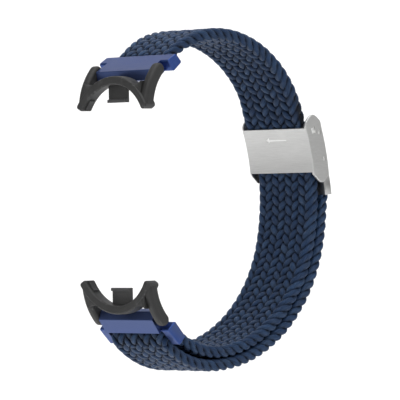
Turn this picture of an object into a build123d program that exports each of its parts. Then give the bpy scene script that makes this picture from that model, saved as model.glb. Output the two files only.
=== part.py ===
from build123d import *
import os
from math import cos, sin, radians, degrees, atan2, hypot

os.makedirs("parts", exist_ok=True)

# Elastic fitness tracker band. Units are mm.
# X points from the tracker bay (negative) to the back of the wrist (positive),
# Y runs across the strap, Z points up along the tracker. The origin is the
# middle of the wrist opening.

# Strap: a flat braid that follows a chain of tangent arcs in the XZ plane.
strap_half = 8.15          # half of the strap width
strap_t = 1.35             # half of the strap thickness
lap = 2.8                  # distance between the middles of the two layers
back_c = (-18.3, -0.5)     # centre of the flat arc at the back of the wrist
back_r = 45.65
back_top = 30.0            # where the flat arc ends, degrees
back_low = -14.0
top_r = 25.7
top_turn = 101.9           # where the top arc tightens towards the adaptor
end_r = 20.0
low_r = 31.0
low_turn = -82.5           # where the lower arc tightens towards the loop pin
turn_r = 20.0

# Upper adaptor, corners of its wide part, and where the strap enters it
up_corner = [(-19.3, 29.04), (-16.75, 30.6), (-15.05, 28.73), (-17.6, 26.64)]
adaptor_half = 11.25
tongue_half = 8.7
strap_mouth = (-15.9, 29.67)
slot_deep = 2.35

# Lower adaptor, corners of its end walls, and the pin the strap turns round
low_corner = [(-18.53, -27.54), (-15.5, -31.0), (-17.3, -32.9), (-20.73, -29.44)]
wall_inner = 9.1
loop_pin_r = 0.65
turn_end = -132.0          # where the strap meets the loop pin
wrap_t = 1.1               # half thickness of the strap while it turns

# Spring bars, one in each adaptor
bar_x = -21.1
bar_z = 26.6
barrel_r = 0.75
barrel_half = 8.5
tip_r = 0.4
tip_reach = 10.0
coil_wire_r = 0.09
arm_inner = 8.9
arm_outer = 11.2

# Saddle connectors that hug the round ends of the tracker
seat_r = 11.25
seat_z = 12.85
saddle_r = 13.15
saddle_ends = 60.5         # half angle of the saddle
saddle_front = -26.6     # at the two ends, less at the crown
saddle_crown = -25.5
saddle_back = -23.2

# Buckle, in polar form about the centre of the flat arc
plate_r = 44.0
plate_t = 0.5
plate_low = 6.3
plate_top = 19.5
flange_half = 10.35
hinge_at = (47.75, 16.9)
lever_pin_r = 0.4
ferrule_at = (47.75, 9.55)
ferrule_tilt = 6.5         # the ferrule leans away from the main run


def polar(r, a, c=back_c):
    return (c[0] + r * cos(radians(a)), c[1] + r * sin(radians(a)))


def at_y(p, y):
    return (p[0], y, p[1])


def prism(points, y0, y1):
    """Straight-sided outline in XZ, extruded along Y."""
    face = make_face(Polyline([at_y(p, y0) for p in points], close=True))
    return extrude(face, amount=y1 - y0, dir=(0, 1, 0))


def both_sides(points, y0, y1):
    return prism(points, y0, y1) + prism(points, -y1, -y0)


def disc(p, r, y0, y1):
    plane = Plane(origin=(p[0], y0, p[1]), x_dir=(1, 0, 0), z_dir=(0, 1, 0))
    return plane * extrude(Circle(r), amount=y1 - y0)


def arc(c, r, a0, a1, y):
    """Arc from angle a0 to a1 about c in the plane Y = y."""
    mid = (a0 + a1) / 2
    ends = [at_y(polar(r, a, c), y) for a in (a0, mid, a1)]
    return ThreePointArc(*ends)


def ring(c, r0, r1, a0, a1, y0, y1):
    """Piece of a curved sheet between two radii and two angles."""
    inner = arc(c, r0, a0, a1, y0)
    outer = arc(c, r1, a0, a1, y0)
    edges = [inner, outer, Line(inner @ 0, outer @ 0), Line(inner @ 1, outer @ 1)]
    return extrude(make_face(edges), amount=y1 - y0, dir=(0, 1, 0))


def inner_centre(r, a):
    """Centre of an arc of radius r that leaves the flat arc at angle a."""
    return polar(back_r - r, a)


top_c = inner_centre(top_r, back_top)
low_c = inner_centre(low_r, back_low)
end_c = polar(top_r - end_r, top_turn, top_c)
turn_c = polar(low_r - turn_r, low_turn, low_c)
end_a = degrees(atan2(strap_mouth[1] - end_c[1], strap_mouth[0] - end_c[0]))

# the wrap circle touches the last inner arc and the first return arc
wrap_r = loop_pin_r + 0.02 + wrap_t
loop_pin = polar(turn_r + wrap_r, turn_end, turn_c)
wrap_start = turn_end + 180
lap_low_r = low_r + lap
lowest = (low_c[0], low_c[1] - lap_low_r)
gap_x = loop_pin[0] - lowest[0]
gap_z = loop_pin[1] - lowest[1]
rise_r = (gap_x**2 + gap_z**2 - wrap_r**2) / (2 * (gap_z - wrap_r))
rise_c = (lowest[0], lowest[1] + rise_r)
rise_end = degrees(atan2(loop_pin[1] - rise_c[1], loop_pin[0] - rise_c[0]))
wrap_end = rise_end + 360


def span(c, r, a0, a1, t0, t1, y):
    """Two edges of a strap stretch whose half thickness goes from t0 to t1."""
    tm = (t0 + t1) / 2
    am = (a0 + a1) / 2
    steps = [(a0, t0), (am, tm), (a1, t1)]
    side = 1 if a1 < a0 else -1
    left = ThreePointArc(*[at_y(polar(r + side * t, a, c), y) for a, t in steps])
    right = ThreePointArc(*[at_y(polar(r - side * t, a, c), y) for a, t in steps])
    return left, right


def strap(spans):
    """Strap solid from a list of spans, with its long edges rounded."""
    edges = []
    for left, right in spans:
        edges += [left, right]
    edges.append(Line(spans[0][0] @ 0, spans[0][1] @ 0))
    edges.append(Line(spans[-1][0] @ 1, spans[-1][1] @ 1))
    return extrude(make_face(edges), amount=2 * strap_half, dir=(0, 1, 0))


# ---- strap, main run: upper adaptor, back of the wrist, round the loop pin
y0 = -strap_half
t = strap_t
main = strap([
    span(end_c, end_r, end_a - 0.6, top_turn, 1.2, t, y0),
    span(top_c, top_r, top_turn, back_top, t, t, y0),
    span(back_c, back_r, back_top, back_low, t, t, y0),
    span(low_c, low_r, back_low, low_turn, t, t, y0),
    span(turn_c, turn_r, low_turn, turn_end, t, wrap_t, y0),
    span(loop_pin, wrap_r, wrap_start, (wrap_start + wrap_end) / 2, wrap_t, wrap_t, y0),
    span(loop_pin, wrap_r, (wrap_start + wrap_end) / 2, wrap_end, wrap_t, wrap_t, y0),
])
mouth_dir = (-0.807, -0.591)
mouth_side = (-0.591, 0.807)


def from_mouth(deep, side):
    x = strap_mouth[0] + deep * mouth_dir[0] + side * mouth_side[0]
    z = strap_mouth[1] + deep * mouth_dir[1] + side * mouth_side[1]
    return (x, z)


def mouth_box(deep0, deep1, half):
    return [from_mouth(deep0, half), from_mouth(deep1, half), from_mouth(deep1, -half), from_mouth(deep0, -half)]


# fused flat end of the strap, held in the upper adaptor by a cross pin
retain_at = from_mouth(1.25, 0)
retain_r = 0.35
main += prism(mouth_box(-0.4, slot_deep - 0.1, 0.66), -7.7, 7.7)
main -= disc(retain_at, retain_r, -9, 9)
# the strap is pressed a little thinner where the buckle plate slides over it
main -= ring(back_c, back_r - strap_t - 0.5, plate_r + plate_t + 0.06, plate_low - 8.8, plate_top + 8.8, -9, 9)

# ---- strap, return run: from the loop pin back up to the end ferrule
ferrule_mouth = -0.4
taper_end = -8.0
lap_r = back_r + lap
hinge_p = polar(*hinge_at)
ferrule_p = polar(*ferrule_at)


def tilted(p):
    """Point p turned about the ferrule pin by the ferrule's lean."""
    dx, dz = p[0] - ferrule_p[0], p[1] - ferrule_p[1]
    c, s = cos(radians(ferrule_tilt)), sin(radians(ferrule_tilt))
    return (ferrule_p[0] + dx * c - dz * s, ferrule_p[1] + dx * s + dz * c)


ferrule_c = tilted(back_c)


def ferrule_ring(r0, r1, a0, a1, half):
    return ring(ferrule_c, r0, r1, a0 + ferrule_tilt, a1 + ferrule_tilt, -half, half)


def taper_edge(r_start, r_stop):
    """Side line of the return run from its full thickness to the ferrule."""
    start = polar(r_start, taper_end)
    stop = tilted(polar(r_stop, ferrule_mouth - 0.1))
    stop_r = hypot(stop[0] - back_c[0], stop[1] - back_c[1])
    stop_a = degrees(atan2(stop[1] - back_c[1], stop[0] - back_c[0]))
    mid = polar((r_start + stop_r) / 2, (taper_end + stop_a) / 2)
    return ThreePointArc(*[at_y(p, y0) for p in (start, mid, stop)])


taper_out = taper_edge(lap_r + t, 48.95)
taper_in = taper_edge(lap_r - t, 47.12)
returning = strap([
    span(rise_c, rise_r, rise_end, -90, wrap_t, t, y0),
    span(low_c, lap_low_r, -90, back_low, t, t, y0),
    span(back_c, lap_r, back_low, taper_end, t, t, y0),
    (taper_in, taper_out),
])
returning += ferrule_ring(47.42, 48.7, ferrule_mouth - 0.6, 4.7, 8.0)


# ---- upper adaptor: wide block with a slot for the strap, tongue with a bore
bar_up = (bar_x, bar_z)
bar_low = (bar_x, -bar_z)
wide = prism(up_corner, -adaptor_half, adaptor_half)
wide = fillet(wide.edges().filter_by(Axis.Y), 0.45)
wide = fillet(wide.faces().sort_by(Axis.Y)[0].edges() + wide.faces().sort_by(Axis.Y)[-1].edges(), 0.2)
tongue_line = [(-17.5, 30.14), (-22.4, 27.15), (-21.95, 24.85), (-20.3, 24.7), (-17.9, 26.8)]
tongue = prism(tongue_line, -tongue_half, tongue_half)
tongue = fillet(tongue.edges().filter_by(Axis.Y).filter_by(lambda e: e.center().X < -19), 0.2)
upper_adaptor = wide + tongue
upper_adaptor -= prism(mouth_box(-0.5, slot_deep, 0.7), -7.8, 7.8)
upper_adaptor -= disc(bar_up, barrel_r + 0.03, -9, 9)
upper_adaptor -= disc(retain_at, retain_r, -10.2, adaptor_half)
retaining_pin = disc(retain_at, retain_r, -10.2, adaptor_half - 0.05)
retaining_pin = chamfer(retaining_pin.edges().filter_by(GeomType.CIRCLE), 0.08)

# ---- lower adaptor: web plate with a bore, end walls, window for the strap
walls = both_sides(low_corner, wall_inner, adaptor_half)
walls = fillet(walls.edges().filter_by(Axis.Y), 0.45)
rims = walls.faces().sort_by(Axis.Y)
walls = fillet(rims[0].edges() + rims[-1].edges(), 0.2)
web_line = [(-20.9, -30.25), (-23.0, -27.3), (-22.3, -25.4), (-21.4, -24.85), (-20.2, -24.8), (-18.0, -27.1)]
web = prism(web_line, -tongue_half, tongue_half)
web = fillet(web.edges().filter_by(Axis.Y).filter_by(lambda e: e.center().Z > -28), 0.25)
web -= disc(loop_pin, wrap_r + wrap_t + 0.1, -9, 9)
stub_line = both_sides(low_corner, tongue_half - 0.3, wall_inner + 0.1)
stubs = stub_line & (prism(web_line, -wall_inner - 0.3, wall_inner + 0.3) - disc(loop_pin, wrap_r + wrap_t + 0.1, -11, 11))
lower_adaptor = walls + web + stubs
lower_adaptor -= disc(bar_low, barrel_r + 0.03, -9, 9)
lower_adaptor -= disc(loop_pin, loop_pin_r, -10.4, adaptor_half)
loop_rod = disc(loop_pin, loop_pin_r, -10.4, adaptor_half - 0.05)
loop_rod = chamfer(loop_rod.edges().filter_by(GeomType.CIRCLE), 0.1)


# ---- spring bars: crimped tube, two shouldered tips, one coil spring
def spring_bar(p):
    tube = disc(p, barrel_r, -barrel_half, barrel_half)
    tube = fillet(tube.edges().filter_by(GeomType.CIRCLE), 0.12)
    tube -= disc(p, 0.5, -8.2, 8.2)
    tube -= disc(p, tip_r + 0.03, -9, 9)
    tip = disc(p, tip_r, 7.6, tip_reach) + disc(p, 0.47, 7.6, 8.15)
    tip = fillet(tip.edges().filter_by(GeomType.CIRCLE).sort_by(Axis.Y)[-1], 0.2)
    other = mirror(tip, about=Plane.XZ)
    path = Helix(pitch=0.62, height=14.9, radius=0.35, center=(p[0], -7.45, p[1]), direction=(0, 1, 0))
    wire = Plane(origin=path @ 0, z_dir=path % 0) * RegularPolygon(coil_wire_r, 8)
    coil = sweep(wire, path=path, is_frenet=True)
    return tube, tip, other, coil


# ---- saddle connector, drawn for the upper end of the tracker
def saddle_ring(r0, r1, a0, a1, x0, x1):
    plane = Plane(origin=(x0, 0, seat_z), x_dir=(0, 1, 0), z_dir=(1, 0, 0))
    a_in = CenterArc((0, 0), r0, 90 - a1, a1 - a0)
    a_out = CenterArc((0, 0), r1, 90 - a1, a1 - a0)
    sides = [Line(a_in @ 0, a_out @ 0), Line(a_in @ 1, a_out @ 1)]
    return plane * extrude(make_face([a_in, a_out] + sides), amount=x1 - x0)


def seat_cutter(r, x0, x1):
    plane = Plane(origin=(x0, 0, seat_z), x_dir=(0, 1, 0), z_dir=(1, 0, 0))
    return plane * extrude(Circle(r), amount=x1 - x0)


arm_c = (-12.0, 18.65)     # centre of the arm's bend
arm_bend_r = 12.6
arm_half_t = 1.35
arm_end = 137.3
arm_foot = 178.0
arm_round = 0.8


def arm_side(y):
    """One swan-neck arm from the end of the saddle to the spring bar tip."""
    r0 = arm_bend_r - arm_half_t
    r1 = arm_bend_r + arm_half_t
    outer = arc(arm_c, r1, arm_foot, arm_end, y)
    throat = arc(arm_c, r0, arm_end, arm_foot, y)
    nose_c = polar(arm_bend_r, arm_end, arm_c)
    nose = ThreePointArc(outer @ 1, at_y(polar(arm_half_t, arm_end - 90, nose_c), y), throat @ 0)
    foot = Line(throat @ 1, outer @ 0)
    outline = make_face([outer, nose, throat, foot])
    return extrude(outline, amount=arm_outer - arm_inner, dir=(0, 1, 0))


right_arm = arm_side(arm_inner)
right_arm = fillet(right_arm.edges().filter_by(Axis.Y).sort_by(Axis.Z)[0:2], 0.9)
arm_faces = right_arm.faces().sort_by(Axis.Y)
right_arm = fillet(arm_faces[0].edges() + arm_faces[-1].edges(), arm_round)
arms = right_arm + mirror(right_arm, about=Plane.XZ)
arms -= seat_cutter(seat_r, -30, -20)
saddle = saddle_ring(seat_r, saddle_r, -saddle_ends, saddle_ends, saddle_front, saddle_back)
saddle = fillet(saddle.edges().filter_by(Axis.X), 0.6)
hollow_r = (saddle_r**2 + (saddle_crown - saddle_front)**2) / (2 * (saddle_crown - saddle_front))
saddle -= Pos(saddle_crown - hollow_r, 0, seat_z) * Cylinder(hollow_r, 40)
saddle = fillet(saddle.faces().sort_by(Axis.X)[0].outer_wire().edges(), 0.45)
gusset_plane = Plane(origin=(-25.7, 0, 0), x_dir=(0, 1, 0), z_dir=(1, 0, 0))
crest = ThreePointArc((6.0, 24.4), (7.6, 24.1), (9.4, 24.7))
gusset_foot = Polyline([crest @ 1, (9.4, 21.9), (7.2, 22.6), crest @ 0])
right_gusset = gusset_plane * extrude(make_face([crest, gusset_foot]), amount=2.4)
gussets = right_gusset + mirror(right_gusset, about=Plane.XZ)
tab_x = (-23.95, -23.25)
tab = Pos((tab_x[0] + tab_x[1]) / 2, 0, 22.25) * Box(tab_x[1] - tab_x[0], 5.9, 4.1)
lip = Pos(tab_x[0] - 0.15, 0, 20.55) * Box(0.6, 5.9, 0.7)
hook = fillet((tab + lip).edges().filter_by(Axis.Y), 0.16)
ribs = saddle_ring(seat_r - 0.3, seat_r + 0.2, 44, 58, -25.2, -23.8)
ribs += saddle_ring(seat_r - 0.3, seat_r + 0.2, -58, -44, -25.2, -23.8)
upper_connector = saddle + arms + gussets + hook + ribs
upper_connector -= disc(bar_up, tip_r + 0.03, arm_inner - 1, 10.15)
upper_connector -= disc(bar_up, tip_r + 0.03, -10.15, 1 - arm_inner)
lower_connector = mirror(upper_connector, about=Plane.XY)


# ---- buckle: bent sheet with two flanges
def flange(y_low):
    """One side cheek, rounded lobe at the top and a hooked foot."""
    inner = arc(back_c, plate_r, plate_low, plate_top, y_low)
    outer = arc(back_c, 48.85, 17.2, 5.6, y_low)
    lobe = Spline([inner @ 1, at_y((24.0, 16.45), y_low), at_y((25.65, 17.3), y_low),
                   at_y((27.55, 16.2), y_low), outer @ 0],
                  tangents=[(-0.33, 0, 0.94), (0.25, 0, -0.97)])
    foot = Spline([outer @ 1, at_y((29.6, 3.1), y_low), at_y((28.85, 2.3), y_low), at_y((27.5, 2.2), y_low),
                   at_y((26.3, 3.2), y_low), inner @ 0],
                  tangents=[(0.1, 0, -1), (-0.2, 0, 1)])
    return extrude(make_face([inner, lobe, outer, foot]), amount=plate_t, dir=(0, 1, 0))


slot_at = (46.15, 17.98)
buckle_body = ring(back_c, plate_r, plate_r + plate_t, plate_low, plate_top, -flange_half, flange_half)
buckle_body += flange(-flange_half)
buckle_body += flange(flange_half - plate_t)
corner_edges = buckle_body.edges().filter_by(lambda e: abs(abs(e.center().Y) - flange_half) < 0.01)
long_edges = [e for e in corner_edges if abs(hypot(e.center().X - back_c[0], e.center().Z - back_c[1]) - plate_r) < 0.1]
buckle_body = fillet(long_edges, 0.2)
# engraved arrow across the skin side, pointing at the way the strap is pulled
arrow = [(-3.2, -0.2), (2.3, -0.2), (2.3, -0.75), (3.5, 0), (2.3, 0.75), (2.3, 0.2), (-3.2, 0.2)]
arrow_angle = 16.0
mark_plane = Plane(origin=at_y(polar(plate_r - 0.1, arrow_angle), 0), x_dir=(0, 1, 0),
                   z_dir=(-cos(radians(arrow_angle)), 0, -sin(radians(arrow_angle))))
mark = mark_plane * extrude(make_face(Polyline(arrow, close=True)), amount=-0.22)
buckle_body -= mark
slot_r = 0.6
slot_a = 0.8
buckle_body -= ring(back_c, slot_at[0] - slot_r, slot_at[0] + slot_r,
                    slot_at[1] - slot_a, slot_at[1] + slot_a, -11, 11)
buckle_body -= disc(hinge_p, lever_pin_r, -11, 11)
buckle_body -= disc(ferrule_p, lever_pin_r, -11, 11)
pin_sink_r = 0.55          # shallow recess round each pin end
pin_sink = 0.15
for pin_p in (hinge_p, ferrule_p):
    buckle_body -= disc(pin_p, pin_sink_r, flange_half - pin_sink, 11)
    buckle_body -= disc(pin_p, pin_sink_r, -11, pin_sink - flange_half)
hinge_pin = disc(hinge_p, lever_pin_r, -flange_half, flange_half)
hinge_pin = fillet(hinge_pin.edges().filter_by(GeomType.CIRCLE), 0.1)
ferrule_pin = disc(ferrule_p, lever_pin_r, -flange_half, flange_half)
ferrule_pin = fillet(ferrule_pin.edges().filter_by(GeomType.CIRCLE), 0.1)

# fixed bridge over the strap, its tongues sit in the square slots
lever_half = 9.75
bar_half = 9.82
bridge_bar = ring(back_c, 47.05, 47.6, 18.1, 19.35, -bar_half, bar_half)
for s in (-1, 1):
    leg = sorted((s * 9.0, s * bar_half))
    tongue_y = sorted((s * 9.6, s * (flange_half - 0.2)))
    bridge_bar += ring(back_c, slot_at[0] - 0.54, 47.6, 18.1, 19.0, leg[0], leg[1])
    bridge_bar += ring(back_c, slot_at[0] - slot_r + 0.02, slot_at[0] + slot_r - 0.02,
                       slot_at[1] - slot_a + 0.02, slot_at[1] + slot_a - 0.02, tongue_y[0], tongue_y[1])

# locking lever: barrel with a cam lobe, short plate, raised finger edge
lock_lever = disc(hinge_p, 0.66, -lever_half, lever_half)
lock_lever += ring(back_c, 47.95, 48.45, 11.2, 16.9, -lever_half, lever_half)
lock_lever += ring(back_c, 48.2, 48.8, 11.2, 11.9, -lever_half + 1.5, lever_half - 1.5)
for k in range(7):
    tooth_y = -7.2 + 2.4 * k
    lobe = ring(back_c, 47.04, 47.5, 16.5, 17.15, tooth_y - 0.7, tooth_y + 0.7)
    lock_lever += lobe
lock_lever -= disc(hinge_p, lever_pin_r + 0.03, -11, 11)

# end ferrule: flat metal box on the strap end, hooked on its own pin
ferrule_half = 9.75
ferrule = ferrule_ring(47.07, 49.02, ferrule_mouth, 5.3, ferrule_half)
ferrule = fillet(ferrule.edges().filter_by(lambda e: e.length > 4 and abs(abs(e.center().Y) - ferrule_half) < 0.01), 0.25)
ferrule -= ferrule_ring(47.37, 48.75, ferrule_mouth - 1, 4.95, ferrule_half - 0.4)
ferrule += ferrule_ring(47.3, 47.9, 5.0, 9.3, ferrule_half)
ferrule += disc(ferrule_p, 0.67, -ferrule_half, ferrule_half)
ferrule -= disc(ferrule_p, lever_pin_r + 0.02, -11, 11)

# ---- write one file per piece
upper_set = spring_bar(bar_up)
lower_set = spring_bar(bar_low)
pieces = {
    "upper_connector": upper_connector,
    "upper_adaptor": upper_adaptor,
    "upper_spring_bar_tube": upper_set[0],
    "upper_spring_bar_tip_left": upper_set[1],
    "upper_spring_bar_tip_right": upper_set[2],
    "upper_spring_bar_coil": upper_set[3],
    "upper_retaining_pin": retaining_pin,
    "lower_connector": lower_connector,
    "lower_adaptor": lower_adaptor,
    "lower_spring_bar_tube": lower_set[0],
    "lower_spring_bar_tip_left": lower_set[1],
    "lower_spring_bar_tip_right": lower_set[2],
    "lower_spring_bar_coil": lower_set[3],
    "lower_loop_pin": loop_rod,
    "strap_main_run": main,
    "strap_return_run": returning,
    "buckle_body": buckle_body,
    "bridge_bar": bridge_bar,
    "lock_lever": lock_lever,
    "lever_hinge_pin": hinge_pin,
    "end_ferrule": ferrule,
    "ferrule_pin": ferrule_pin,
}
for name, shape in pieces.items():
    export_step(shape, "parts/" + name + ".step")
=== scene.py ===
import math

import bpy
import numpy as np
from mathutils import Matrix, Vector


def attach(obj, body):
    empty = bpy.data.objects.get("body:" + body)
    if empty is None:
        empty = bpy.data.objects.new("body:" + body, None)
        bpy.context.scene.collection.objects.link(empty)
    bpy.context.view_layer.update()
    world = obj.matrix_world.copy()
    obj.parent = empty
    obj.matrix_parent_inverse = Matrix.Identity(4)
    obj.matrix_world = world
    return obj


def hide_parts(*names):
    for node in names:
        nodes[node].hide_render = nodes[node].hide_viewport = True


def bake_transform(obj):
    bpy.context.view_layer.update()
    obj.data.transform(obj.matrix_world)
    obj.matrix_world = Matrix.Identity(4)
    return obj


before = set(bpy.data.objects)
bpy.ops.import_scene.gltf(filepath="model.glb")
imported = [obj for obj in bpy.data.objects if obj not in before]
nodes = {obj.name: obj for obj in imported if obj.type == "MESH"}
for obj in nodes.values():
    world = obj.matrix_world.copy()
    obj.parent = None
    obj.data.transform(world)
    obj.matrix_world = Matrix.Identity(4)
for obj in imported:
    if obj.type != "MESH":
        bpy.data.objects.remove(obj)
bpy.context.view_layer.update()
MM = 0.001


# ---------------------------------------------------------------- node helpers
def new_material(name):
    mat = bpy.data.materials.new(name)
    mat.use_nodes = True
    tree = mat.node_tree
    return mat, tree, tree.nodes["Principled BSDF"]


def grey(value):
    return (value, value, value, 1)


def noise(tree, scale, detail, rough, vector):
    n = tree.nodes.new("ShaderNodeTexNoise")
    n.inputs["Scale"].default_value = scale
    n.inputs["Detail"].default_value = detail
    n.inputs["Roughness"].default_value = rough
    tree.links.new(vector, n.inputs["Vector"])
    return n


def ramp(tree, source, low, high):
    """Colour ramp between two stops, each a place and a colour."""
    r = tree.nodes.new("ShaderNodeValToRGB")
    for element, (place_on_ramp, colour) in zip(r.color_ramp.elements, (low, high)):
        element.position = place_on_ramp
        element.color = colour
    tree.links.new(source, r.inputs["Fac"])
    return r.outputs["Color"]


def bump(tree, height, distance, strength):
    b = tree.nodes.new("ShaderNodeBump")
    b.inputs["Distance"].default_value = distance
    b.inputs["Strength"].default_value = strength
    tree.links.new(height, b.inputs["Height"])
    return b


def mapping(tree, vector, scale=(1, 1, 1), rotation=(0, 0, 0)):
    m = tree.nodes.new("ShaderNodeMapping")
    m.inputs["Scale"].default_value = scale
    m.inputs["Rotation"].default_value = rotation
    tree.links.new(vector, m.inputs["Vector"])
    return m.outputs["Vector"]


def object_space(tree, scale=(1, 1, 1)):
    coord = tree.nodes.new("ShaderNodeTexCoord")
    return mapping(tree, coord.outputs["Object"], scale)


def painted_edge_highlight(tree, low, high):
    """Painted highlight: a brighter value on convex edges, from the mesh's own pointiness."""
    geo = tree.nodes.new("ShaderNodeNewGeometry")
    return ramp(tree, geo.outputs["Pointiness"], (low, grey(0)), (high, grey(1)))


def mix_colour(tree, factor, a, b):
    """Colour mix; sockets 0, 6, 7 and output 2 are the node's colour ones."""
    m = tree.nodes.new("ShaderNodeMix")
    m.data_type = "RGBA"
    for socket, value in ((m.inputs[0], factor), (m.inputs[6], a), (m.inputs[7], b)):
        if hasattr(value, "links"):
            tree.links.new(value, socket)
        else:
            socket.default_value = value
    return m.outputs[2]


def attribute(tree, name):
    node = tree.nodes.new("ShaderNodeAttribute")
    node.attribute_name = name
    return node.outputs["Fac"]


# ---------------------------------------------------------------- materials
def yarn_material():
    """Braided nylon: fine twisted fibres along each strand, soft sheen."""
    mat, tree, shader = new_material("navy_yarn")
    uv = tree.nodes.new("ShaderNodeUVMap")
    uv.uv_map = "strand"
    # fibres: stretched noise along the strand, slightly skewed by the twist
    twisted = mapping(tree, uv.outputs["UV"], rotation=(0, 0, math.radians(16)))
    stretched = mapping(tree, twisted, scale=(0.55, 9.0, 1))
    fibres = noise(tree, 1.0, 3.0, 0.6, stretched).outputs["Fac"]
    fluff = noise(tree, 5200.0, 2.0, 0.6, object_space(tree)).outputs["Fac"]
    patches = noise(tree, 420.0, 3.0, 0.55, object_space(tree)).outputs["Fac"]

    deep = (0.006, 0.016, 0.045, 1)
    mid = (0.014, 0.042, 0.110, 1)
    lit = (0.026, 0.066, 0.150, 1)
    dust = (0.060, 0.082, 0.120, 1)
    # painted shade for the gaps between strands
    gap_painted_shade = (0.002, 0.004, 0.010, 1)
    strand = mix_colour(tree, attribute(tree, "tint"), mid, lit)
    between = ramp(tree, fibres, (0.32, grey(0)), (0.62, grey(1)))
    body = mix_colour(tree, between, deep, strand)
    dusty_spots = ramp(tree, patches, (0.45, grey(0)), (0.85, grey(0.35)))
    dusty = mix_colour(tree, dusty_spots, body, dust)
    # painted shade: where the crown value falls to 0, in the gaps between strands, the colour
    # goes near black
    final = mix_colour(tree, attribute(tree, "crown"), gap_painted_shade, dusty)
    tree.links.new(final, shader.inputs["Base Color"])

    rough = ramp(tree, fibres, (0.3, grey(0.62)), (0.7, grey(0.44)))
    tree.links.new(rough, shader.inputs["Roughness"])
    shader.inputs["Specular IOR Level"].default_value = 0.22
    shader.inputs["Sheen Weight"].default_value = 0.08
    shader.inputs["Sheen Roughness"].default_value = 0.45
    shader.inputs["Sheen Tint"].default_value = (0.62, 0.70, 0.85, 1)
    ridges = bump(tree, fibres, 0.00010, 0.9)
    fuzz = bump(tree, fluff, 0.00003, 0.5)
    tree.links.new(ridges.outputs["Normal"], fuzz.inputs["Normal"])
    tree.links.new(fuzz.outputs["Normal"], shader.inputs["Normal"])
    return mat


def moulded_material():
    """Dark matte moulded plastic with a fine spark-eroded grain."""
    mat, tree, shader = new_material("moulded_grey")
    grain = noise(tree, 9000.0, 3.0, 0.6, object_space(tree)).outputs["Fac"]
    cloud = noise(tree, 260.0, 3.0, 0.5, object_space(tree)).outputs["Fac"]
    base = ramp(tree, cloud, (0.3, grey(0.014)), (0.7, grey(0.022)))
    # painted highlight: convex edges mixed towards a paler grey
    edge_highlighted = mix_colour(tree, painted_edge_highlight(tree, 0.52, 0.60), base, (0.045, 0.045, 0.046, 1))
    tree.links.new(edge_highlighted, shader.inputs["Base Color"])
    rough = ramp(tree, cloud, (0.3, grey(0.50)), (0.7, grey(0.60)))
    tree.links.new(rough, shader.inputs["Roughness"])
    fine = bump(tree, grain, 0.00003, 0.35)
    tree.links.new(fine.outputs["Normal"], shader.inputs["Normal"])
    return mat


def anodised_material():
    """Blasted and anodised aluminium, with faint streaks and a painted highlight on its edges.
    """
    mat, tree, shader = new_material("blue_anodised")
    blast = noise(tree, 11000.0, 2.0, 0.6, object_space(tree)).outputs["Fac"]
    streak = noise(tree, 700.0, 3.0, 0.6, object_space(tree, (6, 0.35, 6))).outputs["Fac"]
    base = ramp(tree, streak, (0.3, (0.032, 0.068, 0.235, 1)), (0.7, (0.044, 0.086, 0.285, 1)))
    # painted highlight: convex edges mixed towards a paler blue
    edge_highlighted = mix_colour(tree, painted_edge_highlight(tree, 0.52, 0.62), base, (0.06, 0.09, 0.22, 1))
    tree.links.new(edge_highlighted, shader.inputs["Base Color"])
    shader.inputs["Metallic"].default_value = 0.9
    rough = ramp(tree, streak, (0.3, grey(0.34)), (0.7, grey(0.42)))
    tree.links.new(rough, shader.inputs["Roughness"])
    shader.inputs["Coat Weight"].default_value = 0.06
    shader.inputs["Coat Roughness"].default_value = 0.3
    fine = bump(tree, blast, 0.00002, 0.3)
    tree.links.new(fine.outputs["Normal"], shader.inputs["Normal"])
    return mat


def steel_material(name, brush_scale, low, high, flat=False):
    """Stainless sheet with a fine satin brush along one way.

    A flat one keeps to the plane's own normal and has no painted edge highlight."""
    mat, tree, shader = new_material(name)
    brush = noise(tree, 1000.0, 4.0, 0.7, object_space(tree, brush_scale)).outputs["Fac"]
    cloud = noise(tree, 150.0, 2.0, 0.5, object_space(tree)).outputs["Fac"]
    dark = (low, low, low * 0.985, 1)
    pale = (high, high, high * 0.99, 1)
    colour = ramp(tree, brush, (0.25, dark), (0.75, pale))
    if not flat:
        # painted highlight: convex edges mixed towards near white
        colour = mix_colour(tree, painted_edge_highlight(tree, 0.52, 0.62), colour, (0.90, 0.90, 0.89, 1))
    tree.links.new(colour, shader.inputs["Base Color"])
    shader.inputs["Metallic"].default_value = 1.0
    rough = ramp(tree, cloud, (0.3, grey(0.36)), (0.7, grey(0.44)))
    tree.links.new(rough, shader.inputs["Roughness"])
    fine = bump(tree, brush, 0.00002, 0.35)
    if flat:
        geo = tree.nodes.new("ShaderNodeNewGeometry")
        tree.links.new(geo.outputs["True Normal"], fine.inputs["Normal"])
    tree.links.new(fine.outputs["Normal"], shader.inputs["Normal"])
    return mat


yarn = yarn_material()
moulded = moulded_material()
anodised = anodised_material()
steel = steel_material("satin_steel", (7, 0.3, 7), 0.54, 0.66)
# painted shade: a darker copy of the same stainless steel, for the bridge bar, lever and
# ferrule, to dim the backdrop's reflection in them
outer_steel_painted_shade = steel_material("outer_steel_painted_shade", (7, 0.3, 7), 0.24, 0.34)
turned = steel_material("turned_steel", (1, 12, 1), 0.45, 0.62)
# painted highlight: the engraved arrow's floor gets a paler steel colour so that it shows
# bright
arrow_steel_painted_highlight = steel_material("arrow_steel_painted_highlight", (0.8, 0.8, 0.8), 0.84, 0.92)
# painted shade: the cheeks are the same steel as the plate, given a darker colour because they
# face sideways
cheek_steel_painted_shade = steel_material("cheek_steel_painted_shade", (0.6, 7, 7), 0.45, 0.54, flat=True)

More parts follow.
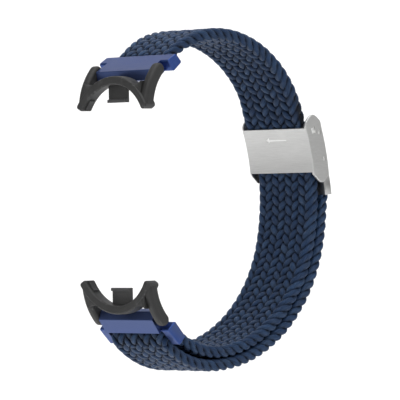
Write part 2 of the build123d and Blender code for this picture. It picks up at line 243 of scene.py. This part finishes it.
# ---------------------------------------------------------------- CAD pieces
# Millimetres, in the XZ plane; angles are in degrees about the centre of the
# flat arc at the back of the wrist.
BACK_C = (-18.3, -0.5)
PLATE_R = 44.0
CHEEK_Y = 10.35            # outer face of each cheek
ARROW_AT = 16.0            # angle of the engraved arrow
ARROW_HALF_HIGH = 1.3      # degrees
ARROW_HALF_LONG = 3.7
ARROW_FLOOR = (PLATE_R + 0.02, PLATE_R + 0.3)
IN_PLANE = 0.012           # how close a face has to be to count as the cheek's

metal = {
    "buckle_body": steel, "bridge_bar": outer_steel_painted_shade,
    "lock_lever": outer_steel_painted_shade, "end_ferrule": outer_steel_painted_shade,
    "lever_hinge_pin": turned, "ferrule_pin": turned,
    "upper_adaptor": anodised, "lower_adaptor": anodised,
    "upper_connector": moulded, "lower_connector": moulded,
    "upper_retaining_pin": turned, "lower_loop_pin": turned,
}
for end in ("upper", "lower"):
    for part in ("tube", "tip_left", "tip_right", "coil"):
        metal[end + "_spring_bar_" + part] = turned
for name, mat in metal.items():
    mesh = nodes[name].data
    mesh.materials.clear()
    mesh.materials.append(mat)
    for polygon in mesh.polygons:
        polygon.material_index = 0

plate = nodes["buckle_body"].data
plate.materials.append(arrow_steel_painted_highlight)
plate.materials.append(cheek_steel_painted_shade)
for polygon in plate.polygons:
    spot = polygon.center / MM
    radius = math.hypot(spot.x - BACK_C[0], spot.z - BACK_C[1])
    angle = math.degrees(math.atan2(spot.z - BACK_C[1], spot.x - BACK_C[0]))
    sunk = ARROW_FLOOR[0] < radius < ARROW_FLOOR[1]
    # the engraved arrow's floor takes the paler, painted-highlight steel
    if sunk and abs(spot.y) < ARROW_HALF_LONG and abs(angle - ARROW_AT) < ARROW_HALF_HIGH:
        polygon.material_index = 1
    # the cheek faces get the darker, painted-shade copy of the steel
    if abs(abs(spot.y) - CHEEK_Y) < IN_PLANE and abs(polygon.normal.y) > 0.9:
        polygon.material_index = 2

# shading only: crisp creases, and flat faces lit by their own large area
for name in metal:
    obj = nodes[name]
    weld = obj.modifiers.new("weld", "WELD")
    weld.merge_threshold = 8e-6
    split = obj.modifiers.new("crisp_faces", "EDGE_SPLIT")
    split.split_angle = math.radians(28)
    split.use_edge_sharp = False
    shade = obj.modifiers.new("even_normals", "WEIGHTED_NORMAL")
    shade.weight = 100
    shade.keep_sharp = True

# ---------------------------------------------------------------- strap path
# A chain of tangent arcs in the XZ plane, the same as the CAD strap's middle.
BACK_R = 45.65
TOP_R, END_R, LOW_R, TURN_R = 25.7, 20.0, 31.0, 20.0
TOP_TURN, LOW_TURN, TURN_END = 101.9, -82.5, -132.0
BACK_TOP, BACK_LOW = 30.0, -14.0
LAP = 2.8                  # distance between the middles of the two layers
WRAP_R = 1.77              # radius of the turn round the loop pin


def polar(r, a, c=BACK_C):
    return (c[0] + r * math.cos(math.radians(a)), c[1] + r * math.sin(math.radians(a)))


def heading(c, p):
    """Angle of point p seen from centre c, in degrees."""
    return math.degrees(math.atan2(p[1] - c[1], p[0] - c[0]))


TOP_C = polar(BACK_R - TOP_R, BACK_TOP)
LOW_C = polar(BACK_R - LOW_R, BACK_LOW)
END_C = polar(TOP_R - END_R, TOP_TURN, TOP_C)
TURN_C = polar(LOW_R - TURN_R, LOW_TURN, LOW_C)
MOUTH = (-15.9, 29.67)     # where the strap enters the upper adaptor
END_A = heading(END_C, MOUTH) - 0.6
LOOP_PIN = polar(TURN_R + WRAP_R, TURN_END, TURN_C)

# the return run leaves the loop pin on an arc that is level at its lowest point
LOWEST = (LOW_C[0], LOW_C[1] - LOW_R - LAP)
rise = (LOOP_PIN[0] - LOWEST[0], LOOP_PIN[1] - LOWEST[1])
RISE_R = (rise[0] ** 2 + rise[1] ** 2 - WRAP_R ** 2) / (2 * (rise[1] - WRAP_R))
RISE_C = (LOWEST[0], LOWEST[1] + RISE_R)
RISE_END = heading(RISE_C, LOOP_PIN)

# higher up it bends outward to meet the leaning ferrule
LIFT_AT = -8.0
PIN = polar(47.75, 9.55)
LEAN = math.radians(6.5)
upright_throat = polar(48.05, -0.3)
arm = (upright_throat[0] - PIN[0], upright_throat[1] - PIN[1])
THROAT = (PIN[0] + arm[0] * math.cos(LEAN) - arm[1] * math.sin(LEAN),
          PIN[1] + arm[0] * math.sin(LEAN) + arm[1] * math.cos(LEAN))
LIFT_FROM = polar(BACK_R + LAP, LIFT_AT)
outward = (math.cos(math.radians(LIFT_AT)), math.sin(math.radians(LIFT_AT)))
hop = (THROAT[0] - LIFT_FROM[0], THROAT[1] - LIFT_FROM[1])
LIFT_R = (hop[0] ** 2 + hop[1] ** 2) / (2 * (hop[0] * outward[0] + hop[1] * outward[1]))
LIFT_C = (LIFT_FROM[0] + LIFT_R * outward[0], LIFT_FROM[1] + LIFT_R * outward[1])
LIFT_END = heading(LIFT_C, THROAT) % 360

# arcs in order: centre, radius, start and end angle, thickness at both ends
SWOLLEN, PRESSED = 1.07, 0.84   # just above the buckle plate, and under it
TIGHT = 0.82                    # round the loop pin
MAIN = [
    (END_C, END_R, END_A, TOP_TURN, 0.88, 1.0),
    (TOP_C, TOP_R, TOP_TURN, BACK_TOP, 1.0, 1.0),
    (BACK_C, BACK_R, BACK_TOP, 23.0, 1.0, SWOLLEN),
    (BACK_C, BACK_R, 23.0, 19.6, SWOLLEN, PRESSED),
    (BACK_C, BACK_R, 19.6, 5.5, PRESSED, PRESSED),
    (BACK_C, BACK_R, 5.5, 2.0, PRESSED, 1.0),
    (BACK_C, BACK_R, 2.0, BACK_LOW, 1.0, 1.0),
    (LOW_C, LOW_R, BACK_LOW, LOW_TURN, 1.0, 1.0),
    (TURN_C, TURN_R, LOW_TURN, TURN_END, 1.0, TIGHT),
    (LOOP_PIN, WRAP_R, TURN_END + 180, RISE_END + 360, TIGHT, TIGHT),
]
BACKWARD = [
    (RISE_C, RISE_R, RISE_END, -90.0, TIGHT, 1.0),
    (LOW_C, LOW_R + LAP, -90.0, BACK_LOW, 1.0, 1.0),
    (BACK_C, BACK_R + LAP, BACK_LOW, LIFT_AT, 1.0, 1.0),
    (LIFT_C, LIFT_R, LIFT_AT + 180, LIFT_END, 1.0, 0.66),
]


def walk(arcs):
    """Length along a chain of arcs at the start of each arc and at its end."""
    marks = [0.0]
    for _, r, a0, a1, _, _ in arcs:
        marks.append(marks[-1] + r * abs(math.radians(a1 - a0)))
    return marks


def place(arcs, marks, u):
    """Points, side vectors and thickness at lengths u (numpy array)."""
    k = np.clip(np.searchsorted(marks, u, side="right") - 1, 0, len(arcs) - 1)
    table = np.array([[c[0], c[1], r, a0, a1, t0, t1] for c, r, a0, a1, t0, t1 in arcs])[k]
    begin = np.array(marks)[k]
    length = np.array(marks)[k + 1] - begin
    f = (u - begin) / length
    a = np.radians(table[:, 3] + (table[:, 4] - table[:, 3]) * f)
    turn = np.sign(table[:, 4] - table[:, 3])
    radial = np.stack([np.cos(a), np.sin(a)], 1)
    point = table[:, :2] + radial * table[:, 2:3]
    side = radial * (-turn)[:, None]
    thick = table[:, 5] + (table[:, 6] - table[:, 5]) * np.clip(f, 0, 1)
    return point, side, thick


main_marks = walk(MAIN)

# ---------------------------------------------------------------- braid
COLUMN = 2.12              # width of one chevron column
CROSSINGS = 7              # columns a strand crosses between the two edges
TURN = 1.5                 # length of an edge turn, counted in columns
LOOP = 2 * (CROSSINGS + TURN)
EDGE = COLUMN * CROSSINGS / 2
STRANDS = 17
PITCH = 2.24               # one strand to the next along the strap
CYCLE = STRANDS * PITCH
SWING = 0.78               # how far a strand moves through the thickness
SWAY = 0.8                 # the strap leans to one side above the plate
YARN_W = 0.79              # half width of a strand across its run
YARN_T = 0.62              # half thickness of a strand
UV_ROUND = 4.4             # texture length once round a strand
UV_SHIFT = 13.7            # keeps the strands' fibres from matching


def bulge(q):
    """Over and under wave of a strand, flat on its floats."""
    wave = np.sin(math.pi * q)
    return np.sign(wave) * np.abs(wave) ** 0.8


def strand_path(phase, u):
    """One strand of the flat braid, at lengths u along the strap.

    A strand crosses the strap on a steady slope, over two others and under
    two, then rolls round the edge and comes back. Gives its place across and
    through the strap, and the (across, through) direction its flat side faces."""
    s = (u * LOOP / CYCLE + phase) % LOOP
    going = s < CROSSINGS
    far_turn = (s >= CROSSINGS) & (s < CROSSINGS + TURN)
    coming = (s >= CROSSINGS + TURN) & (s < LOOP - TURN)
    near_turn = ~(going | far_turn | coming)
    q = np.where(going, s + 0.5, 2 * CROSSINGS + TURN - s + 0.5)
    across = (q - 0.5) * COLUMN - EDGE
    wave = bulge(q) * SWING
    through = np.where(going, -wave, wave)
    face_y = np.zeros(len(u))
    face_n = np.where(going, -1.0, 1.0)
    part = np.where(far_turn, (s - CROSSINGS) / TURN, (s - LOOP + TURN) / TURN)
    roll = np.radians(-90 + 180 * np.clip(part, 0, 1))
    reach = EDGE + SWING * np.cos(roll)
    across = np.where(far_turn, reach, np.where(near_turn, -reach, across))
    through = np.where(far_turn | near_turn, -SWING * np.sin(roll), through)
    face_y = np.where(far_turn, -np.cos(roll), np.where(near_turn, np.cos(roll), face_y))
    face_n = np.where(far_turn, np.sin(roll), np.where(near_turn, -np.sin(roll), face_n))
    return across, through, face_y, face_n


def beside_plate(u):
    """One just above the buckle plate, falling to nothing a little further on."""
    middle = main_marks[2] + BACK_R * math.radians(BACK_TOP - 21.0)
    return np.exp(-((u - middle) / 5.0) ** 2)


def narrowing(u):
    """Width along the strap: drawn in at the adaptors, swollen above the plate."""
    at_loop = np.exp(-((u - main_marks[-1]) / 6.0) ** 2)
    at_mouth = np.exp(-(u / 5.0) ** 2)
    return 1 - 0.02 * at_loop - 0.06 * at_mouth + 0.03 * beside_plate(u)


def smooth(values, n):
    """Running average over n samples; the ends stay where they are."""
    kernel = np.hanning(n + 2)[1:-1]
    kernel /= kernel.sum()
    padded = np.concatenate([np.full(n // 2, values[0]), values, np.full(n // 2, values[-1])])
    return np.convolve(padded, kernel, mode="same")[n // 2:n // 2 + len(values)]


def unit(v):
    return v / np.maximum(np.linalg.norm(v, axis=1), 1e-9)[:, None]


def yarn_section(ring):
    """Cross-section of a strand, a little squarer than an ellipse."""
    angles = np.linspace(0, 2 * math.pi, ring, endpoint=False)
    ca, sa = np.cos(angles), np.sin(angles)
    return np.sign(ca) * np.abs(ca) ** 0.9, np.sign(sa) * np.abs(sa) ** 0.9


def tube_faces(base, count, ring):
    """Quads of a tube of count rings, with a cap on each end."""
    i = np.arange(count - 1)[:, None]
    j = np.arange(ring)[None, :]
    a = base + i * ring + j
    b = base + i * ring + (j + 1) % ring
    faces = np.stack([a, b, b + ring, a + ring], -1).reshape(-1, 4).tolist()
    last = base + (count - 1) * ring
    faces.append(list(range(base, base + ring))[::-1])
    faces.append(list(range(last, last + ring)))
    return faces


def tube_uv(centre, ring, k):
    """Texture place of each face corner: along strand k and round it."""
    rows = len(centre) - 1
    steps = np.linalg.norm(np.diff(centre, axis=0), axis=1)
    length = np.concatenate([[0], np.cumsum(steps)])
    j = np.arange(ring)[None, :]
    v0 = np.broadcast_to(j / ring, (rows, ring)) * UV_ROUND
    v1 = np.broadcast_to((j + 1) / ring, (rows, ring)) * UV_ROUND
    l0 = np.broadcast_to(length[:-1, None], (rows, ring)) + UV_SHIFT * k
    l1 = np.broadcast_to(length[1:, None], (rows, ring)) + UV_SHIFT * k
    corners = [np.stack(pair, -1) for pair in ((l0, v0), (l0, v1), (l1, v1), (l1, v0))]
    caps = np.zeros((2 * ring, 2))
    return [np.stack(corners, 2).reshape(-1, 2), caps]


def crown_values(rings, point, normal, thick, edge):
    """How far each vertex stands out of the strap: gaps between strands are 0. The yarn paints
    shade by it, near black in the gaps.
    """
    middle = np.stack([point[:, 0], np.zeros(len(point)), point[:, 1]], 1)
    offset = rings - middle[:, None, :]
    depth = np.abs(np.sum(offset * normal[:, None, :], 2)) / thick[:, None]
    on_face = (depth - 0.62) / 0.60
    beyond = np.maximum(np.abs(rings[:, :, 1]) - edge[:, None], 0)
    on_rim = (np.hypot(beyond, depth) - 0.80) / 0.50
    return np.clip(np.maximum(on_face, np.where(beyond > 0, on_rim, 0)), 0, 1)


def strand_rings(arcs, marks, phase, u, u_shift, width, rng, section):
    """Rings of points of one strand, its middle line and its crown values."""
    along = u + u_shift
    across, through, face_y, face_n = strand_path(phase, along)
    across = across * narrowing(along) + SWAY * beside_plate(along)
    across, through = smooth(across, 3), smooth(through, 3)
    face_y, face_n = smooth(face_y, 3), smooth(face_n, 3)
    point, side, thick = place(arcs, marks, np.clip(u, 0, marks[-1] - 1e-6))
    through = (through + smooth(rng.normal(0, 0.02, len(u)), 9)) * thick
    centre = np.stack([point[:, 0] + side[:, 0] * through, across,
                       point[:, 1] + side[:, 1] * through], 1)
    normal = np.stack([side[:, 0], np.zeros(len(u)), side[:, 1]], 1)
    tangent = unit(np.gradient(centre, axis=0))
    face = normal * face_n[:, None]
    face[:, 1] += face_y
    wide = unit(np.cross(tangent, face))
    up = np.cross(wide, tangent)
    half_w = YARN_W * width * np.ones(len(u))
    half_t = YARN_T * thick
    rings = (centre[:, None, :]
             + wide[:, None, :] * (half_w[:, None] * section[0][None, :])[:, :, None]
             + up[:, None, :] * (half_t[:, None] * section[1][None, :])[:, :, None])
    crown = crown_values(rings, point, normal, thick, EDGE * narrowing(along))
    return rings, centre, crown


def braid(name, arcs, u_shift, step, ring):
    """Mesh of all strands of a strap stretch, each a closed tube."""
    marks = walk(arcs)
    count = int(marks[-1] / step) + 1
    u = np.linspace(0, marks[-1], count)
    section = yarn_section(ring)
    rng = np.random.default_rng(7)
    verts, faces, uvs, tints, crowns = [], [], [], [], []
    for k in range(STRANDS):
        tint = rng.uniform(0.0, 1.0)
        width = rng.uniform(0.97, 1.03)
        phase = k * LOOP / STRANDS
        rings, centre, crown = strand_rings(arcs, marks, phase, u, u_shift, width, rng, section)
        verts.append(rings.reshape(-1, 3))
        faces += tube_faces(k * count * ring, count, ring)
        uvs += tube_uv(centre, ring, k)
        tints.append(np.full(count * ring, tint))
        crowns.append(crown.reshape(-1))
    mesh = bpy.data.meshes.new(name)
    mesh.from_pydata((np.concatenate(verts) * MM).tolist(), [], faces)
    layer = mesh.uv_layers.new(name="strand")
    layer.data.foreach_set("uv", np.concatenate(uvs).astype(np.float32).reshape(-1))
    for label, values in (("tint", tints), ("crown", crowns)):
        stored = mesh.attributes.new(label, "FLOAT", "POINT")
        stored.data.foreach_set("value", np.concatenate(values).astype(np.float32))
    mesh.polygons.foreach_set("use_smooth", np.ones(len(mesh.polygons), bool))
    mesh.materials.append(yarn)
    mesh.update()
    obj = bpy.data.objects.new(name, mesh)
    bpy.context.scene.collection.objects.link(obj)
    return obj


STEP = 0.30
RING = 14
LONGER_STEP = 1.13         # longer steps give the long main run fewer faces; keeps the long main run under the face limit
main_run = braid("braid_main_run", MAIN, 0.0, STEP * LONGER_STEP, RING)
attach(main_run, "band")
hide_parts("strap_main_run")
return_run = braid("braid_return_run", BACKWARD, main_marks[-1], STEP, RING)
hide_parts("strap_return_run")
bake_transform(return_run)

# ---------------------------------------------------------------- stage, metres
FLOOR_NEAR, WALL_AT, WALL_TOP = -1.1, 1.0, 1.6
COVE_R, COVE_STEPS = 0.35, 12
SHEET_HALF = 1.8
FLOOR_Z = -0.16


def stage_sheet():
    """Pale floor that curves up into a backdrop behind the object."""
    profile = [(FLOOR_NEAR, 0.0), (WALL_AT, 0.0)]
    for k in range(1, COVE_STEPS + 1):
        a = math.radians(90 * k / COVE_STEPS)
        profile.append((WALL_AT + COVE_R * math.sin(a), COVE_R * (1 - math.cos(a))))
    profile.append((WALL_AT + COVE_R, WALL_TOP))
    verts, faces = [], []
    for d, z in profile:
        for w in (-SHEET_HALF, SHEET_HALF):
            verts.append((d, w, z))
    for k in range(len(profile) - 1):
        faces.append((2 * k, 2 * k + 1, 2 * k + 3, 2 * k + 2))
    mesh = bpy.data.meshes.new("floor")
    mesh.from_pydata(verts, [], faces)
    mesh.polygons.foreach_set("use_smooth", np.ones(len(faces), bool))
    mat, tree, shader = new_material("floor_paper")
    grain = noise(tree, 40.0, 3.0, 0.5, object_space(tree)).outputs["Fac"]
    tone = ramp(tree, grain, (0.3, grey(0.93)), (0.7, grey(0.95)))
    tree.links.new(tone, shader.inputs["Base Color"])
    shader.inputs["Roughness"].default_value = 0.9
    shader.inputs["Specular IOR Level"].default_value = 0.1
    mesh.materials.append(mat)
    obj = bpy.data.objects.new("floor", mesh)
    bpy.context.scene.collection.objects.link(obj)
    return obj


YAW = math.radians(43.0)   # the camera looks this far round from +Y towards +X
AHEAD = Vector((math.sin(YAW), math.cos(YAW), 0))
RIGHT = Vector((math.cos(YAW), -math.sin(YAW), 0))
UP = Vector((0, 0, 1))
floor = stage_sheet()
floor.rotation_euler = (0, 0, math.pi / 2 - YAW)
floor.location = (0, 0, FLOOR_Z)


def around(ahead, right, up):
    return AHEAD * ahead + RIGHT * right + UP * up


def soft_light(name, at, target, size, power):
    data = bpy.data.lights.new(name, "AREA")
    data.shape = "RECTANGLE"
    data.size, data.size_y = size
    data.energy = power
    lamp = bpy.data.objects.new(name, data)
    lamp.location = at
    lamp.rotation_euler = (Vector(target) - Vector(at)).to_track_quat("-Z", "Y").to_euler()
    bpy.context.scene.collection.objects.link(lamp)
    return lamp


CENTRE = (0, 0, 0)
soft_light("top_box", around(-0.15, -0.05, 0.75), CENTRE, (0.9, 0.9), 5.96)
soft_light("left_box", around(-0.55, -0.75, 0.15), CENTRE, (0.5, 0.8), 2.13)
soft_light("right_box", around(-0.35, 0.85, 0.2), CENTRE, (0.5, 0.8), 1.70)
soft_light("front_box", around(-0.95, 0.1, 0.45), CENTRE, (0.5, 0.4), 1.14)
wash = soft_light("wall_wash", around(0.35, 0.0, 0.9), around(1.3, 0, 0.1), (1.6, 0.4), 12.0)
wash.visible_glossy = False   # it lights the backdrop, not the metal

world = bpy.data.worlds.new("studio")
world.use_nodes = True
sky = world.node_tree.nodes["Background"]
sky.inputs["Color"].default_value = (1, 1, 1, 1)
sky.inputs["Strength"].default_value = 0.24
bpy.context.scene.world = world
bpy.context.scene.view_settings.view_transform = "Standard"

# ---------------------------------------------------------------- camera
FAR = 0.9194
ROLL = math.radians(1.1)
AIM = Vector((0, 0, -0.00138))
camera_data = bpy.data.cameras.new("camera")
camera_data.lens = 372.5
camera_data.sensor_width = 36.0
camera = bpy.data.objects.new("camera", camera_data)
right = RIGHT * math.cos(ROLL) - UP * math.sin(ROLL)
up = RIGHT * math.sin(ROLL) + UP * math.cos(ROLL)
back = -AHEAD
spot = AIM - AHEAD * FAR
camera.matrix_world = Matrix((
    (right.x, up.x, back.x, spot.x),
    (right.y, up.y, back.y, spot.y),
    (right.z, up.z, back.z, spot.z),
    (0, 0, 0, 1)))
bpy.context.scene.collection.objects.link(camera)
bpy.context.scene.camera = camera
